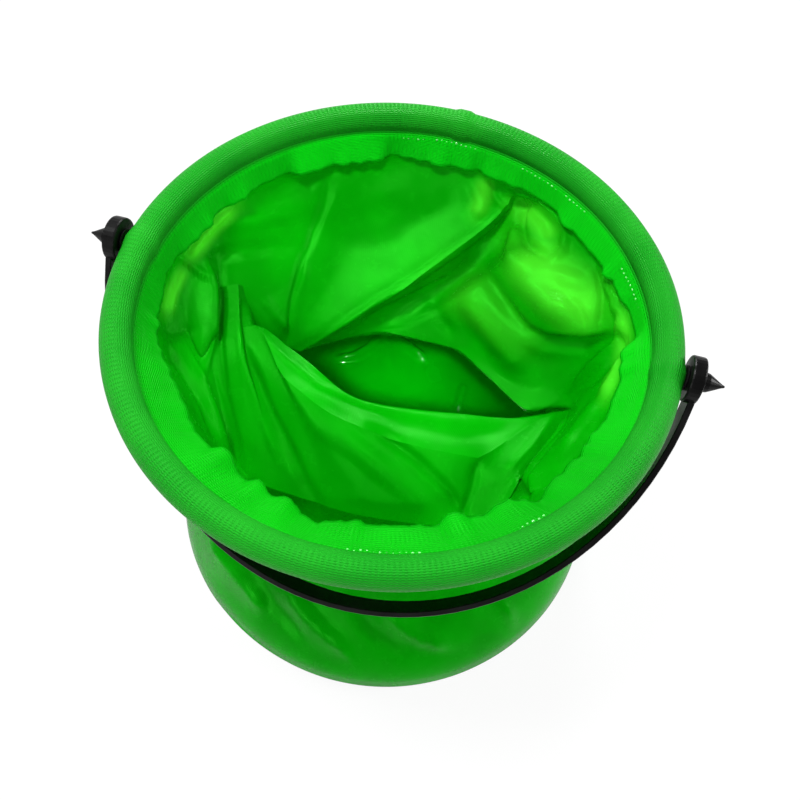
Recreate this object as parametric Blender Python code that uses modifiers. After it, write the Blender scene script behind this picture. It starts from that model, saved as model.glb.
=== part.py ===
"""A collapsible bucket: two hoops joined by a coated-fabric wall that folds down with a twist.

Metres, +Z up. X runs through the two studs that carry the bail, +Y points to the back,
and the bucket stands on z = 0, half drawn up, with its wall pinched in at the waist.
"""

import math

import bmesh
import bpy
from mathutils import Vector

# Sheets and the clearance between pieces that touch
sheet = 0.0006
seat_gap = 0.0003
layer_pitch = sheet + seat_gap
merge_distance = 0.00001
cut_overrun = 0.002

# Rim: a plastic tube bent to a hoop inside a fabric sleeve
rim_outer_radius = 0.130
rim_height = 0.196
rim_roll_radius = 0.007
hoop_wall = 0.001
hoop_slit = 0.0012
joiner_length = 0.046
joiner_clearance = 0.0004

# Base: a wire hoop in a hem, and a welded bottom panel
base_outer_radius = 0.130
base_wire_radius = 0.0023
hem_height = 0.009
hem_lean = math.radians(10)
bottom_lip = 0.006

# Sleeve legs below the rim
neck_angle = math.radians(225)
neck_reach = 0.0015
leg_gap = 0.0006
flap_drop = 0.014
skirt_drop = 0.011
flap_mean_share = 0.935
flap_wave_shares = ((0.028, 0.076), (0.035, 0.010), (-0.013, 0.014))

# Wall: it turns between rim and base, and its waist is pinched to a long slot across the bucket
wall_turn_steps = 8
pleat_count = 8
pleat_depth = 0.0050
wall_run_out = 0.003
lower_row_shares = (0.34, 0.70)
# The folds between rim and waist, thread by thread: the share of a turn at which the thread leaves
# the rim, then where it passes the valley, the foot of the inner panel, the crease and the waist.
# Places are shares of the rim's radius in x and y, and of its height in z.
fold_shares = (
    (0.008, (0.82, 0.30, 0.81), (0.77, 0.29, 0.73), (0.69, 0.23, 0.59), (0.61, 0.16, 0.55)),
    (0.042, (0.76, 0.37, 0.83), (0.67, 0.33, 0.72), (0.53, 0.26, 0.57), (0.45, 0.20, 0.54)),
    (0.086, (0.63, 0.52, 0.84), (0.51, 0.38, 0.75), (0.38, 0.34, 0.58), (0.30, 0.30, 0.54)),
    (0.131, (0.48, 0.68, 0.84), (0.34, 0.53, 0.76), (0.22, 0.40, 0.59), (0.13, 0.34, 0.55)),
    (0.172, (0.31, 0.83, 0.83), (0.21, 0.64, 0.71), (0.03, 0.39, 0.59), (-0.13, 0.33, 0.56)),
    (0.197, (0.26, 0.82, 0.84), (0.11, 0.64, 0.76), (-0.29, 0.23, 0.61), (-0.42, 0.14, 0.57)),
    (0.250, (0.04, 0.82, 0.84), (-0.12, 0.60, 0.75), (-0.41, 0.19, 0.62), (-0.48, 0.12, 0.58)),
    (0.311, (-0.29, 0.74, 0.84), (-0.38, 0.55, 0.76), (-0.47, 0.18, 0.63), (-0.51, 0.12, 0.59)),
    (0.369, (-0.59, 0.60, 0.84), (-0.59, 0.45, 0.78), (-0.55, 0.18, 0.66), (-0.54, 0.12, 0.62)),
    (0.422, (-0.78, 0.41, 0.85), (-0.77, 0.30, 0.79), (-0.66, 0.20, 0.70), (-0.62, 0.15, 0.66)),
    (0.464, (-0.86, 0.20, 0.85), (-0.80, 0.18, 0.80), (-0.77, 0.18, 0.73), (-0.74, 0.17, 0.69)),
    (0.500, (-0.88, -0.02, 0.81), (-0.83, -0.03, 0.77), (-0.80, 0.11, 0.74), (-0.78, 0.13, 0.69)),
    (0.533, (-0.79, -0.24, 0.78), (-0.72, -0.21, 0.70), (-0.79, 0.08, 0.75), (-0.75, 0.09, 0.69)),
    (0.575, (-0.60, -0.44, 0.70), (-0.60, -0.33, 0.62), (-0.74, 0.08, 0.76), (-0.70, 0.08, 0.70)),
    (0.608, (-0.49, -0.54, 0.59), (-0.47, -0.47, 0.57), (-0.68, 0.07, 0.75), (-0.64, 0.07, 0.69)),
    (0.639, (-0.36, -0.56, 0.52), (-0.27, -0.50, 0.55), (-0.61, 0.03, 0.71), (-0.56, 0.05, 0.68)),
    (0.675, (-0.24, -0.60, 0.51), (-0.05, -0.51, 0.55), (-0.41, -0.14, 0.70), (-0.38, -0.03, 0.68)),
    (0.719, (-0.10, -0.62, 0.51), (0.15, -0.51, 0.55), (-0.13, -0.23, 0.68), (-0.10, -0.12, 0.66)),
    (0.769, (0.08, -0.63, 0.53), (0.37, -0.47, 0.57), (0.27, -0.23, 0.64), (0.23, -0.07, 0.62)),
    (0.806, (0.23, -0.62, 0.55), (0.48, -0.43, 0.58), (0.49, -0.12, 0.62), (0.46, -0.01, 0.60)),
    (0.844, (0.40, -0.59, 0.62), (0.57, -0.36, 0.62), (0.70, 0.03, 0.60), (0.64, 0.05, 0.57)),
    (0.883, (0.66, -0.38, 0.79), (0.62, -0.28, 0.72), (0.77, 0.10, 0.61), (0.72, 0.09, 0.57)),
    (0.944, (0.79, -0.08, 0.81), (0.76, 0.00, 0.73), (0.77, 0.18, 0.61), (0.71, 0.16, 0.57)),
)

# Bail and studs
bail_drop = math.radians(45)
bail_reach = 0.1515
strap_width = 0.012
strap_thickness = 0.003
strap_rib_height = 0.0008
strap_rib_width = 0.0018
strap_edge = 0.0004
strap_setback = 0.0003
eye_radius = 0.0105
eye_thickness = 0.006
eye_chamfer = 0.0008
pivot_gap = 0.0003
journal_radius = 0.0039
shaft_radius = 0.0029
barb_radius = 0.0040
barb_length = 0.0022
flange_radius = 0.0056
flange_thickness = 0.0007
cone_radius = 0.0048
cone_length = 0.0102
cone_nib_radius = 0.0009
cone_nib_length = 0.0012
cone_shoulder_share = 0.35
cone_shoulder_radius_share = 0.86

# Counts
ring_steps = 56
roll_steps = 12
hoop_sides = 12
hem_roll_steps = 8
wire_sides = 8
stud_steps = 20
eye_steps = 32
bail_stations = 48
panel_turn_steps = 4

# Places that follow from the sizes above
rim_centre_radius = rim_outer_radius - rim_roll_radius
hoop_radius = rim_roll_radius - sheet - seat_gap
bore_radius = hoop_radius - hoop_wall
hem_roll_radius = base_wire_radius + seat_gap + sheet
base_centre_radius = base_outer_radius - hem_roll_radius
step_angle = math.tau / ring_steps
flange_inner_x = rim_outer_radius + seat_gap
eye_inner_x = flange_inner_x + flange_thickness + pivot_gap
eye_outer_x = eye_inner_x + eye_thickness
cone_base_x = eye_outer_x + pivot_gap
tip_x = cone_base_x + cone_length


def make_material(name, colour, roughness):
    material = bpy.data.materials.new(name)
    material.use_nodes = True
    shader = material.node_tree.nodes["Principled BSDF"]
    shader.inputs["Base Color"].default_value = (*colour, 1)
    shader.inputs["Roughness"].default_value = roughness
    shader.inputs["Metallic"].default_value = 0
    return material


def clear_scene():
    for old in list(bpy.data.objects):
        bpy.data.objects.remove(old, do_unlink=True)


def make_collection(name):
    collection = bpy.data.collections.new(name)
    bpy.context.scene.collection.children.link(collection)
    return collection


def add_object(name, mesh, collection, material=None):
    obj = bpy.data.objects.new(name, mesh)
    collection.objects.link(obj)
    if material:
        mesh.materials.append(material)
    return obj


def adopt(obj, name, collection, material=None):
    """Name an object that an operator made and move it into its collection."""
    obj.name = name
    obj.data.name = name
    for holder in list(obj.users_collection):
        holder.objects.unlink(obj)
    collection.objects.link(obj)
    if material:
        obj.data.materials.append(material)
    return obj


def mark_cutter(obj):
    obj.hide_render = True
    obj.display_type = "WIRE"
    return obj


def smooth(mesh, angle=math.radians(35)):
    mesh.shade_smooth()
    mesh.set_sharp_from_angle(angle=angle)


def profile_mesh(name, points):
    """Edges through (radius, height) points, in the XZ plane."""
    mesh = bpy.data.meshes.new(name)
    shape = bmesh.new()
    corners = [shape.verts.new((radius, 0, height)) for radius, height in points]
    for first, second in zip(corners, corners[1:]):
        shape.edges.new((first, second))
    shape.to_mesh(mesh)
    shape.free()
    return mesh


def turn(obj, steps):
    screw = obj.modifiers.new("Turn", "SCREW")
    screw.axis = "Z"
    screw.angle = math.tau
    screw.steps = steps
    screw.render_steps = steps
    screw.use_merge_vertices = True
    screw.merge_threshold = merge_distance
    screw.use_smooth_shade = True
    return screw


def thicken(obj, thickness):
    solid = obj.modifiers.new("Sheet", "SOLIDIFY")
    solid.thickness = thickness
    solid.offset = 0
    solid.use_even_offset = True
    return solid


def cut(obj, cutter, name):
    boolean = obj.modifiers.new(name, "BOOLEAN")
    boolean.operation = "DIFFERENCE"
    boolean.object = cutter
    return boolean


def rod_along_x(name, radius, start_x, end_x, height, steps, collection):
    bpy.ops.mesh.primitive_cylinder_add(
        vertices=steps,
        radius=radius,
        depth=abs(end_x - start_x),
        location=((start_x + end_x) / 2, 0, height),
        rotation=(0, math.radians(90), 0),
    )
    return mark_cutter(adopt(bpy.context.object, name, collection))


def arc_points(centre_radius, centre_height, radius, start, end, steps):
    points = []
    for index in range(steps + 1):
        angle = start + (end - start) * index / steps
        points.append((centre_radius + radius * math.cos(angle), centre_height + radius * math.sin(angle)))
    return points


def around(radius, height, angle):
    return Vector((radius * math.cos(angle), radius * math.sin(angle), height))


def hem_neck():
    """Where the wall leaves the hem, the way it leans, and the normal to that towards the axis."""
    lean = Vector((-math.sin(hem_lean), math.cos(hem_lean)))
    inward = Vector((-lean.y, lean.x))
    centre = Vector((base_centre_radius, hem_roll_radius))
    return centre + lean * (hem_roll_radius + layer_pitch), lean, inward


def rim_neck():
    """Where the sleeve's two legs meet the top of the wall, in radius and height."""
    reach = rim_roll_radius + neck_reach
    return Vector((
        rim_centre_radius + reach * math.cos(neck_angle),
        rim_height + reach * math.sin(neck_angle),
    ))


def flap_edge_radius(angle):
    """The radius of the flap's free edge: its mean and three waves round the rim."""
    share = flap_mean_share
    for turns, (cosine_share, sine_share) in enumerate(flap_wave_shares, start=1):
        share += cosine_share * math.cos(turns * angle) + sine_share * math.sin(turns * angle)
    return rim_neck().x * share


def leg_direction(angle):
    """The way the wall's top leaves the neck at this angle round the rim, and the normal inwards."""
    run = Vector((flap_edge_radius(angle) - rim_neck().x, -flap_drop))
    length = run.length
    down = run / length
    inward = Vector((down.y, -down.x))
    return down, inward, length


def sleeve_section(angle):
    """Skirt, roll round the hoop and inner flap, as one open strip."""
    neck = rim_neck()
    down, inward, length = leg_direction(angle)
    middle_radius = rim_roll_radius - sheet / 2
    leg_pitch = sheet + leg_gap
    opening = math.asin(leg_pitch / middle_radius)
    outer_start = neck - inward * leg_pitch
    inner_start = neck + inward * leg_pitch
    skirt_length = length * skirt_drop / flap_drop
    points = [outer_start + down * skirt_length, outer_start + down * skirt_length / 2, outer_start]
    roll = arc_points(
        rim_centre_radius, rim_height, middle_radius,
        neck_angle + opening - math.tau, neck_angle - opening, roll_steps,
    )
    points += [Vector(point) for point in roll]
    points += [inner_start, inner_start + down * length / 2, inner_start + down * length]
    return points


def loft(name, sections, collection, material):
    """A surface through closed rings of points, ring by ring."""
    mesh = bpy.data.meshes.new(name)
    shape = bmesh.new()
    rings = [[shape.verts.new(point) for point in section] for section in sections]
    for lower, upper in zip(rings, rings[1:]):
        for index in range(len(lower)):
            after = (index + 1) % len(lower)
            shape.faces.new((lower[index], lower[after], upper[after], upper[index]))
    bmesh.ops.recalc_face_normals(shape, faces=shape.faces)
    shape.to_mesh(mesh)
    shape.free()
    smooth(mesh)
    return add_object(name, mesh, collection, material)


def make_bottom_panel(collection, material):
    neck, lean, inward = hem_neck()
    clear_radius = hem_roll_radius + seat_gap + sheet / 2
    start = math.pi + math.asin((hem_roll_radius - sheet / 2) / clear_radius)
    end = math.pi / 2 + hem_lean + math.asin(2 * layer_pitch / clear_radius)
    points = [(0, sheet / 2)]
    points += arc_points(
        base_centre_radius, hem_roll_radius, clear_radius, start, end, panel_turn_steps,
    )
    points.append(neck + inward * layer_pitch * 2 + lean * bottom_lip)
    panel = add_object("bottom_panel", profile_mesh("bottom_panel", points), collection, material)
    turn(panel, ring_steps)
    thicken(panel, sheet)


def make_base_hoop(collection, material):
    bpy.ops.mesh.primitive_torus_add(
        major_radius=base_centre_radius,
        minor_radius=base_wire_radius,
        major_segments=ring_steps,
        minor_segments=wire_sides,
        location=(0, 0, hem_roll_radius),
    )
    hoop = adopt(bpy.context.object, "base_hoop", collection, material)
    smooth(hoop.data)


def make_base_hem(collection, material):
    neck, lean, inward = hem_neck()
    middle_radius = hem_roll_radius - sheet / 2
    opening = math.asin(layer_pitch / middle_radius)
    top = math.radians(90) + hem_lean
    outer_start = neck - inward * layer_pitch
    inner_start = neck + inward * layer_pitch
    points = [outer_start + lean * hem_height, outer_start]
    points += arc_points(
        base_centre_radius, hem_roll_radius, middle_radius,
        top - opening, top + opening - math.tau, hem_roll_steps,
    )
    points += [inner_start, inner_start + lean * hem_height]
    hem = add_object("base_hem", profile_mesh("base_hem", points), collection, material)
    turn(hem, ring_steps)
    thicken(hem, sheet)


def fold_places(turn):
    """Where the thread that leaves the rim at this share of a turn passes the folds, the waist last."""
    count = len(fold_shares)
    after = sum(1 for row in fold_shares if row[0] <= turn)
    turns = []
    rows = []
    for index in range(after - 2, after + 2):
        lap, place = divmod(index, count)
        turns.append(fold_shares[place][0] + lap)
        rows.append([Vector(shares) for shares in fold_shares[place][1:]])
    width = turns[2] - turns[1]
    share = (turn - turns[1]) / width
    scale = Vector((rim_outer_radius, rim_outer_radius, rim_height))
    places = []
    for before, start, end, beyond in zip(*rows):
        leave = (end - before) * width / (turns[2] - turns[0])
        arrive = (beyond - start) * width / (turns[3] - turns[1])
        near = start.lerp(end, share * share * (3 - 2 * share))
        bend = leave * (1 - share) - arrive * share
        places.append((near + bend * share * (1 - share)) * scale)
    return places


def wall_column(index):
    """The wall's points up one thread, from the hem to the rim."""
    low_angle = index * step_angle
    high_turn = index - wall_turn_steps
    high_angle = high_turn * step_angle
    waist_angle = (low_angle + high_angle) / 2
    hem_point, lean, _ = hem_neck()
    hem_top = hem_point + lean * (hem_height + wall_run_out)
    rim_point = rim_neck()
    down, _, length = leg_direction(high_angle)
    leg_end = rim_point + down * (length + wall_run_out)
    ripple = math.cos(pleat_count * waist_angle)
    outward = Vector((math.cos(waist_angle), math.sin(waist_angle), 0))
    low = around(hem_top.x, hem_top.y, low_angle)
    high = around(leg_end.x, leg_end.y, high_angle)
    folds = fold_places(high_turn / ring_steps % 1)
    points = [around(hem_point.x, hem_point.y, low_angle), low]
    points += [low.lerp(folds[-1], share) + outward * pleat_depth * ripple for share in lower_row_shares]
    points += reversed(folds)
    leg_middle = rim_point + down * length / 2
    points += [high, around(leg_middle.x, leg_middle.y, high_angle)]
    points.append(around(rim_point.x, rim_point.y, high_angle))
    return points


def make_wall_panel(collection, material):
    columns = [wall_column(index) for index in range(ring_steps)]
    rows = [list(row) for row in zip(*columns)]
    wall = loft("wall_panel", rows, collection, material)
    thicken(wall, sheet)


def make_rim_hoop(collection, cutters, material):
    bpy.ops.mesh.primitive_torus_add(
        major_radius=rim_centre_radius,
        minor_radius=hoop_radius,
        major_segments=ring_steps,
        minor_segments=hoop_sides,
        location=(0, 0, rim_height),
    )
    hoop = adopt(bpy.context.object, "rim_hoop", collection, material)
    smooth(hoop.data)
    bpy.ops.mesh.primitive_cube_add(size=1, location=(0, rim_centre_radius, rim_height))
    slit = mark_cutter(adopt(bpy.context.object, "hoop_slit_cutter", cutters))
    slit.scale = (hoop_slit, hoop_radius * 2 + cut_overrun, hoop_radius * 2 + cut_overrun)
    bpy.ops.mesh.primitive_torus_add(
        major_radius=rim_centre_radius,
        minor_radius=bore_radius,
        major_segments=ring_steps,
        minor_segments=hoop_sides,
        location=(0, 0, rim_height),
    )
    bore = mark_cutter(adopt(bpy.context.object, "hoop_bore_cutter", cutters))
    cut(hoop, slit, "Slit")
    cut(hoop, bore, "Bore")
    return hoop


def make_hoop_joiner(collection, material):
    half_steps = round(joiner_length / 2 / (rim_centre_radius * step_angle))
    curve = bpy.data.curves.new("hoop_joiner", "CURVE")
    curve.dimensions = "3D"
    curve.bevel_depth = bore_radius - joiner_clearance
    curve.bevel_resolution = 2
    curve.use_fill_caps = True
    spline = curve.splines.new("POLY")
    spline.points.add(half_steps * 2)
    for index, point in enumerate(spline.points):
        place = around(rim_centre_radius, 0, math.radians(90) + (index - half_steps) * step_angle)
        point.co = (*place, 1)
    joiner = add_object("hoop_joiner", curve, collection, material)
    joiner.location.z = rim_height


def make_rim_sleeve(collection, material):
    sections = [sleeve_section(index * step_angle) for index in range(ring_steps)]
    rows = []
    for places in zip(*sections):
        rows.append([around(place.x, place.y, index * step_angle) for index, place in enumerate(places)])
    sleeve = loft("rim_sleeve", rows, collection, material)
    thicken(sleeve, sheet)
    return sleeve


def stud_profile():
    """Radius and distance from the hoop's centre, from the tip to the barb."""
    shoulder = tip_x - cone_nib_length - (cone_length - cone_nib_length) * (1 - cone_shoulder_share)
    places = [
        (0, tip_x),
        (cone_nib_radius / 2, tip_x),
        (cone_nib_radius, tip_x - cone_nib_length),
        (cone_radius * cone_shoulder_radius_share, shoulder),
        (cone_radius, cone_base_x),
        (journal_radius, cone_base_x),
        (journal_radius, flange_inner_x + flange_thickness),
        (flange_radius, flange_inner_x + flange_thickness),
        (flange_radius, flange_inner_x),
        (shaft_radius, flange_inner_x),
        (shaft_radius, rim_centre_radius + barb_length),
        (barb_radius, rim_centre_radius + barb_length),
        (shaft_radius, rim_centre_radius),
        (0, rim_centre_radius),
    ]
    return [(radius, along - rim_centre_radius) for radius, along in places]


def make_stud(name, side, collection, material):
    stud = add_object(name, profile_mesh(name, stud_profile()), collection, material)
    stud.location = (side * rim_centre_radius, 0, rim_height)
    stud.rotation_euler.y = side * math.radians(90)
    turn(stud, stud_steps)
    return stud


def strap_outline():
    """Half-widths and heights of the ribbed strap: a flat inside and three ribs outside."""
    half_width = strap_width / 2
    inner = -strap_thickness / 2
    outer = strap_thickness / 2
    floor = outer - strap_rib_height
    half_rib = strap_rib_width / 2
    right = [
        (half_width - strap_edge, inner),
        (half_width, inner + strap_edge),
        (half_width, outer - strap_edge),
        (half_width - strap_edge, outer),
        (half_width - strap_rib_width, outer),
        (half_width - strap_rib_width - strap_edge, floor),
        (half_rib + strap_edge, floor),
        (half_rib, outer),
    ]
    left = [(-across, out) for across, out in reversed(right)]
    return right + left


def bail_sections():
    """The strap's outline set square to half an ellipse, from one eye to the other."""
    half_span = eye_outer_x - strap_setback - strap_thickness / 2
    sections = []
    for station in range(bail_stations + 1):
        angle = math.pi * station / bail_stations
        centre = Vector((half_span * math.cos(angle), -bail_reach * math.sin(angle), 0))
        outward = Vector((math.cos(angle) / half_span, -math.sin(angle) / bail_reach, 0)).normalized()
        sections.append([centre + outward * out + Vector((0, 0, across)) for across, out in strap_outline()])
    return sections


def make_bail(collection, cutters, material):
    bail = loft("bail", bail_sections(), collection, material)
    shape = bmesh.new()
    shape.from_mesh(bail.data)
    bmesh.ops.holes_fill(shape, edges=[edge for edge in shape.edges if edge.is_boundary])
    bmesh.ops.recalc_face_normals(shape, faces=shape.faces)
    shape.to_mesh(bail.data)
    shape.free()
    for side in (-1, 1):
        side_name = "right" if side > 0 else "left"
        eye = rod_along_x(
            "bail_eye_" + side_name, eye_radius,
            side * eye_inner_x, side * eye_outer_x, 0, eye_steps, cutters,
        )
        chamfer = eye.modifiers.new("Chamfer", "BEVEL")
        chamfer.width = eye_chamfer
        chamfer.segments = 2
        join = bail.modifiers.new("Eye " + side_name, "BOOLEAN")
        join.operation = "UNION"
        join.object = eye
        hole = rod_along_x(
            "bail_hole_" + side_name, journal_radius + pivot_gap,
            side * (eye_inner_x - cut_overrun), side * (eye_outer_x + cut_overrun), 0, eye_steps, cutters,
        )
        cut(bail, hole, "Hole " + side_name)
        for helper in (eye, hole):
            helper.parent = bail
    bail.location.z = rim_height
    bail.rotation_euler.x = bail_drop
    return bail


def drill_for_stud(targets, side_name, side, cutters):
    cutter = rod_along_x(
        "stud_hole_" + side_name, shaft_radius + seat_gap, side * rim_centre_radius,
        side * (rim_outer_radius + cut_overrun), rim_height, stud_steps, cutters,
    )
    for target in targets:
        cut(target, cutter, "Stud hole " + side_name)


def build():
    clear_scene()
    parts = make_collection("collapsible_bucket")
    cutters = make_collection("cutters")
    coated_fabric = make_material("coated fabric", (0.010, 0.330, 0.012), 0.32)
    sleeve_fabric = make_material("sleeve fabric", (0.012, 0.270, 0.016), 0.55)
    floor_fabric = make_material("bottom fabric", (0.008, 0.300, 0.010), 0.30)
    hoop_plastic = make_material("hoop plastic", (0.75, 0.75, 0.72), 0.45)
    wire_steel = make_material("wire steel", (0.60, 0.61, 0.62), 0.35)
    black_plastic = make_material("black plastic", (0.006, 0.006, 0.006), 0.38)
    make_bottom_panel(parts, floor_fabric)
    make_base_hoop(parts, wire_steel)
    make_base_hem(parts, coated_fabric)
    make_wall_panel(parts, coated_fabric)
    hoop = make_rim_hoop(parts, cutters, hoop_plastic)
    make_hoop_joiner(parts, hoop_plastic)
    sleeve = make_rim_sleeve(parts, sleeve_fabric)
    make_bail(parts, cutters, black_plastic)
    for side_name, side in (("left", -1), ("right", 1)):
        drill_for_stud((hoop, sleeve), side_name, side, cutters)
        make_stud("stud_" + side_name, side, parts, black_plastic)


build()
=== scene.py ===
import bisect
import math
import bmesh
import bpy
import numpy
from mathutils import Matrix, Vector, noise


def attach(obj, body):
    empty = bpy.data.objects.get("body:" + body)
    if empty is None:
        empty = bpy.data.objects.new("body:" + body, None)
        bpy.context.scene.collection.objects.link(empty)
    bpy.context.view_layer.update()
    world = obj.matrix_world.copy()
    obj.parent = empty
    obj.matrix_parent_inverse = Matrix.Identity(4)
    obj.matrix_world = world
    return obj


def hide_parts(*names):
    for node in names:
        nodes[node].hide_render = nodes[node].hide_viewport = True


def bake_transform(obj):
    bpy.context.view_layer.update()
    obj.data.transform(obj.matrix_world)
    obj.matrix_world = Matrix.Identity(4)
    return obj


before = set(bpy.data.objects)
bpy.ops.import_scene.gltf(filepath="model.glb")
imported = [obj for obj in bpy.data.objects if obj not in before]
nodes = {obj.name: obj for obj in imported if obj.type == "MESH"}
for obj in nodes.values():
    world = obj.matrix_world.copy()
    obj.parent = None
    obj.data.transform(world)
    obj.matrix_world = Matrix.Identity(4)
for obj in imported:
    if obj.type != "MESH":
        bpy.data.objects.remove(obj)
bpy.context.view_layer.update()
scene = bpy.context.scene
print("frame loaded")

# the rim's sizes, as in the solids
rim = {
    "height": 0.196,
    "centreRadius": 0.123,
    "rollRadius": 0.007,
    "neckAngle": 225,
    "neckReach": 0.0015,
    "legGap": 0.0006,
    "edgeInside": 0.001,
    "flapDrop": 0.014,
    "skirtDrop": 0.011,
    # pixels along the flap's free edge, clockwise from the left, then its height in mm
    "flapEdge": (
        (152, 335), (151, 322), (158, 312), (162, 300), (164, 285), (165, 268), (166, 255), (171, 242),
        (180, 240), (190, 237), (196, 228), (201, 214), (206, 205), (215, 199), (228, 194), (240, 190),
        (256, 186), (268, 182), (274, 178), (284, 172), (300, 173), (316, 172), (328, 167), (342, 163),
        (360, 164), (376, 158), (392, 155), (406, 157), (420, 161), (435, 162), (450, 166), (466, 171),
        (484, 170), (502, 167), (516, 168), (526, 173), (538, 180), (547, 192), (553, 205), (562, 218),
        (572, 228), (580, 240), (590, 250), (602, 266), (607, 276), (622, 282), (632, 293), (640, 305),
        (642, 320), (638, 338), (631, 352), (625, 362), (621, 378), (612, 402), (603, 426), (594, 440),
        (582, 455), (568, 468), (556, 486), (546, 498), (538, 503), (529, 506), (510, 509), (494, 514),
        (476, 520), (455, 523), (438, 527), (420, 528), (402, 527), (379, 527), (361, 525), (349, 527),
        (338, 523), (327, 522), (317, 525), (305, 517), (294, 511), (280, 503), (268, 500), (258, 489),
        (245, 481), (232, 467), (220, 457), (211, 449), (202, 440), (193, 430), (184, 412), (176, 392),
        (170, 372), (162, 356), (156, 345),
    ),
    "flapHeight": 175.5,
}
neckTurn = math.radians(rim["neckAngle"])
rim["neckRadius"] = rim["centreRadius"] + (rim["rollRadius"] + rim["neckReach"]) * math.cos(neckTurn)
rim["neckHeight"] = rim["height"] + (rim["rollRadius"] + rim["neckReach"]) * math.sin(neckTurn)


def around(radius, angle, height):
    return Vector((radius * math.cos(angle), radius * math.sin(angle), height))


def atAngle(radius, degrees, height):
    # a place by its turn in degrees from the right
    return around(radius, math.radians(degrees), height)


def turns(count):
    return [math.tau * i / count for i in range(count)]


def smooth(share):
    return share * share * (3 - 2 * share)


def towardsBack(sine, fade):
    # 0 at the front and 1 at the back, by the sine of the turn
    return min(1.0, max(0.0, 0.5 + fade * sine))


# the photograph's camera: its place in metres, its axes, its lens in mm and in pixels
view = {
    "place": Vector((0.0478, -0.2094, 0.4898)),
    "right": Vector((0.9640, 0.2633, 0.0377)),
    "up": Vector((-0.2472, 0.8348, 0.4920)),
    "ahead": Vector((-0.0980, 0.4836, -0.8698)),
    "lens": 36.07,
    "sensor": 36,
    "nearest": 0.01,
    "focalPixels": 801.6,
    "middlePixel": 400,
}


def seen(u, v, height):
    # the place, in mm, at this height in mm that the photograph shows at pixel (u, v)
    ray = view["ahead"] + view["right"] * ((u - view["middlePixel"]) / view["focalPixels"])
    ray -= view["up"] * ((v - view["middlePixel"]) / view["focalPixels"])
    start = view["place"] * 1000
    return start + ray * ((height - start.z) / ray.z)


def edgeRadii():
    # angle and radius of the flap's free edge, sorted by angle
    places = [seen(u, v, rim["flapHeight"]) / 1000 for u, v in rim["flapEdge"]]
    return sorted((math.atan2(p.y, p.x) % math.tau, math.hypot(p.x, p.y)) for p in places)


flapRadii = edgeRadii()
flapTurns = [turn for turn, _ in flapRadii]


def flapEdgeRadius(angle):
    angle %= math.tau
    after = bisect.bisect(flapTurns, angle)
    (a0, r0), (a1, r1) = flapRadii[after - 1], flapRadii[after % len(flapRadii)]
    share = ((angle - a0) % math.tau) / max(0.0001, (a1 - a0) % math.tau)
    return min(rim["neckRadius"] - rim["edgeInside"], r0 + (r1 - r0) * smooth(share))


def placeCamera():
    data = bpy.data.cameras.new("camera")
    data.lens = view["lens"]
    data.sensor_width = view["sensor"]
    data.clip_start = view["nearest"]
    camera = bpy.data.objects.new("camera", data)
    scene.collection.objects.link(camera)
    turned = Matrix((view["right"], view["up"], -view["ahead"])).transposed().to_4x4()
    camera.matrix_world = Matrix.Translation(view["place"]) @ turned
    scene.camera = camera


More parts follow.
